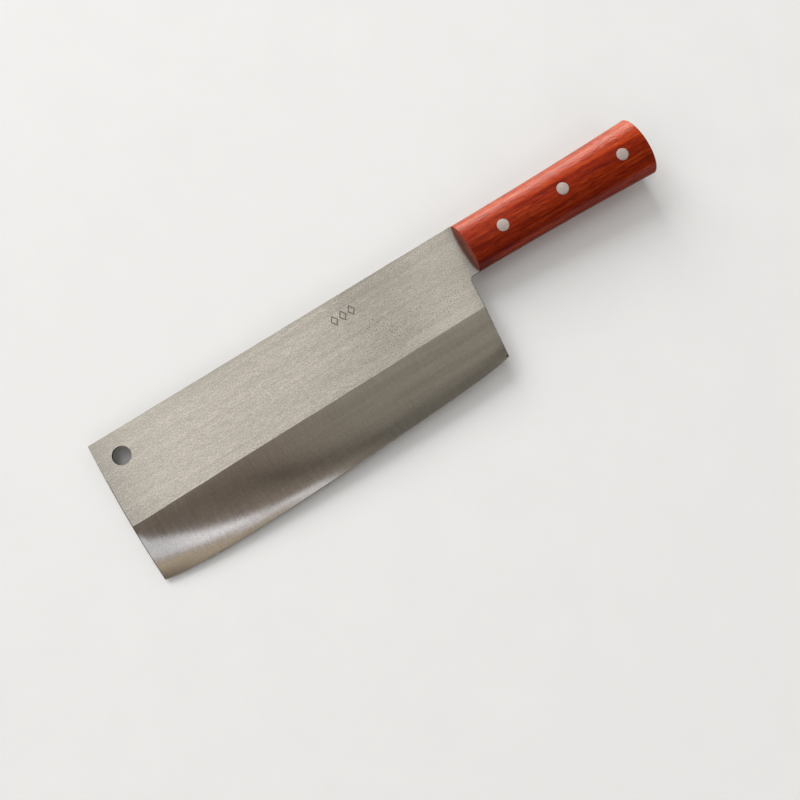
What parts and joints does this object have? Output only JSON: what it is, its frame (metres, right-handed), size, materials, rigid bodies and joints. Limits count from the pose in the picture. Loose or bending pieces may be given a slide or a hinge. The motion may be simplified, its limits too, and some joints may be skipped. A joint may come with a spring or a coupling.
{
  "type": "meat cleaver",
  "caption": "Broad kitchen cleaver: rectangular full-tang blade with a wide ground bevel and a hanging hole, and a riveted oval wooden handle.",
  "frame": {"origin": "centre of the overall box, on the blade's mid-plane", "axes": "+X from the blade's front end towards the butt of the handle, +Y from the cutting edge towards the spine, +Z out of the blade's left face, the face that is up when the cleaver lies on its right side"},
  "size_m": [0.319, 0.0785, 0.023],
  "materials": {
    "blade_steel": "satin upper face with a fine grain, smoother cross-ground bevel",
    "handle_wood": "red-orange close-grained hardwood under a clear gloss lacquer",
    "rivet_metal": "ground flush, fine satin"
  },
  "bodies": {
    "root": {"blade": "blade_steel", "left_scale": "handle_wood", "right_scale": "handle_wood", "front_rivet_male": "rivet_metal", "front_rivet_female": "rivet_metal", "middle_rivet_male": "rivet_metal", "middle_rivet_female": "rivet_metal", "rear_rivet_male": "rivet_metal", "rear_rivet_female": "rivet_metal"}
  },
  "joints": []
}
